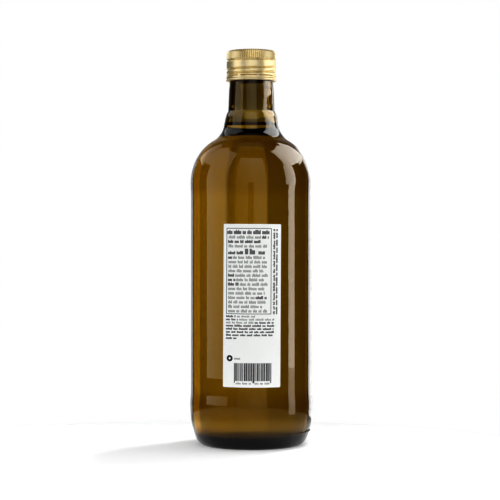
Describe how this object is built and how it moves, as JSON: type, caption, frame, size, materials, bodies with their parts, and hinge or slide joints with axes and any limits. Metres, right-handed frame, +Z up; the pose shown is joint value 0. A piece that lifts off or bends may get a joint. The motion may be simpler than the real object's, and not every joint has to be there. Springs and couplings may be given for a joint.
{
  "type": "olive oil bottle",
  "caption": "Round amber glass bottle full of olive oil, with a domed base, a stepped neck, a plain paper label and a rolled metal screw cap.",
  "frame": {"origin": "middle of the ring that the bottle stands on, at the height of the ground", "axes": "+Z up along the bottle's axis; the label faces -Y"},
  "size_m": [0.0864, 0.0864, 0.2782],
  "materials": {
    "amber_glass": "gloss",
    "olive_oil": "gloss",
    "gold_aluminium": "satin",
    "label_paper": "matte"
  },
  "bodies": {
    "root": {"bottle": "amber_glass", "oil": "olive_oil", "cap": "gold_aluminium", "label": "label_paper"}
  },
  "joints": []
}
